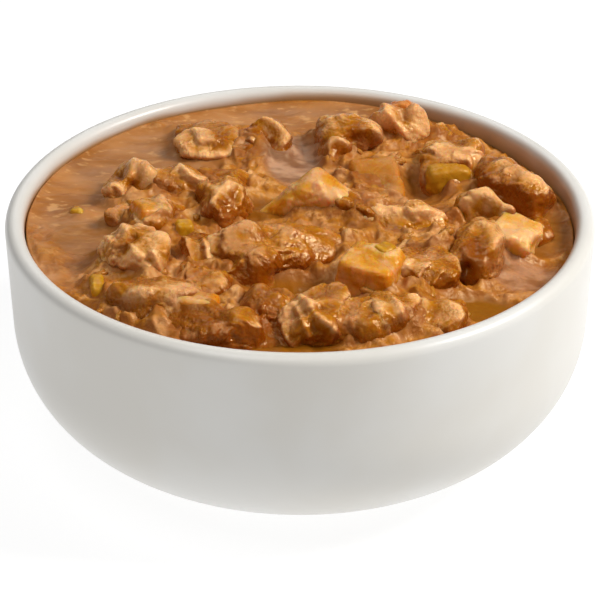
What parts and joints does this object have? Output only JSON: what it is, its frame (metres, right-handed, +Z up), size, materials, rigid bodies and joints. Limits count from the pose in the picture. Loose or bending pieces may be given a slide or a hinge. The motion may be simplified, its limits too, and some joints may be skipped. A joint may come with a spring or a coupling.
{
  "type": "chicken curry in a bowl",
  "caption": "Thick creamy curry with torn chicken pieces and cubed vegetables in a deep round white bowl that stands on a low foot ring.",
  "frame": {"origin": "centre of the foot ring, on the plane the bowl stands on", "axes": "+Z up out of the bowl, +Y away from the viewer, +X to the viewer's right"},
  "size_m": [0.15, 0.15, 0.0688],
  "materials": {
    "bowl": "smooth off-white glaze, semi-gloss",
    "sauce": "wet creamy brown-orange curry sauce",
    "chicken": "torn cooked chicken coated in sauce, wet",
    "potato": "soft translucent cubes glazed with sauce",
    "pepper": "yellow-green pepper bits, wet",
    "carrot": "soft orange carrot, wet"
  },
  "bodies": {
    "root": {"bowl": "bowl", "sauce": "sauce", "chicken_01": "chicken", "chicken_02": "chicken", "chicken_03": "chicken", "chicken_04": "chicken", "chicken_05": "chicken", "chicken_06": "chicken", "chicken_07": "chicken", "chicken_08": "chicken", "chicken_09": "chicken", "chicken_10": "chicken", "chicken_11": "chicken", "chicken_12": "chicken", "chicken_13": "chicken", "chicken_14": "chicken", "chicken_15": "chicken", "chicken_16": "chicken", "chicken_17": "chicken", "chicken_18": "chicken", "chicken_19": "chicken", "chicken_20": "chicken", "chicken_21": "chicken", "chicken_22": "chicken", "chicken_23": "chicken", "chicken_24": "chicken", "chicken_25": "chicken", "chicken_26": "chicken", "chicken_27": "chicken", "chicken_28": "chicken", "chicken_29": "chicken", "chicken_30": "chicken", "chicken_31": "chicken", "chicken_32": "chicken", "potato_01": "potato", "potato_02": "potato", "potato_03": "potato", "potato_04": "potato", "potato_05": "potato", "potato_06": "potato", "pepper_01": "pepper", "pepper_02": "pepper", "pepper_03": "pepper", "pepper_04": "pepper", "pepper_05": "pepper", "carrot_01": "carrot"}
  },
  "joints": []
}
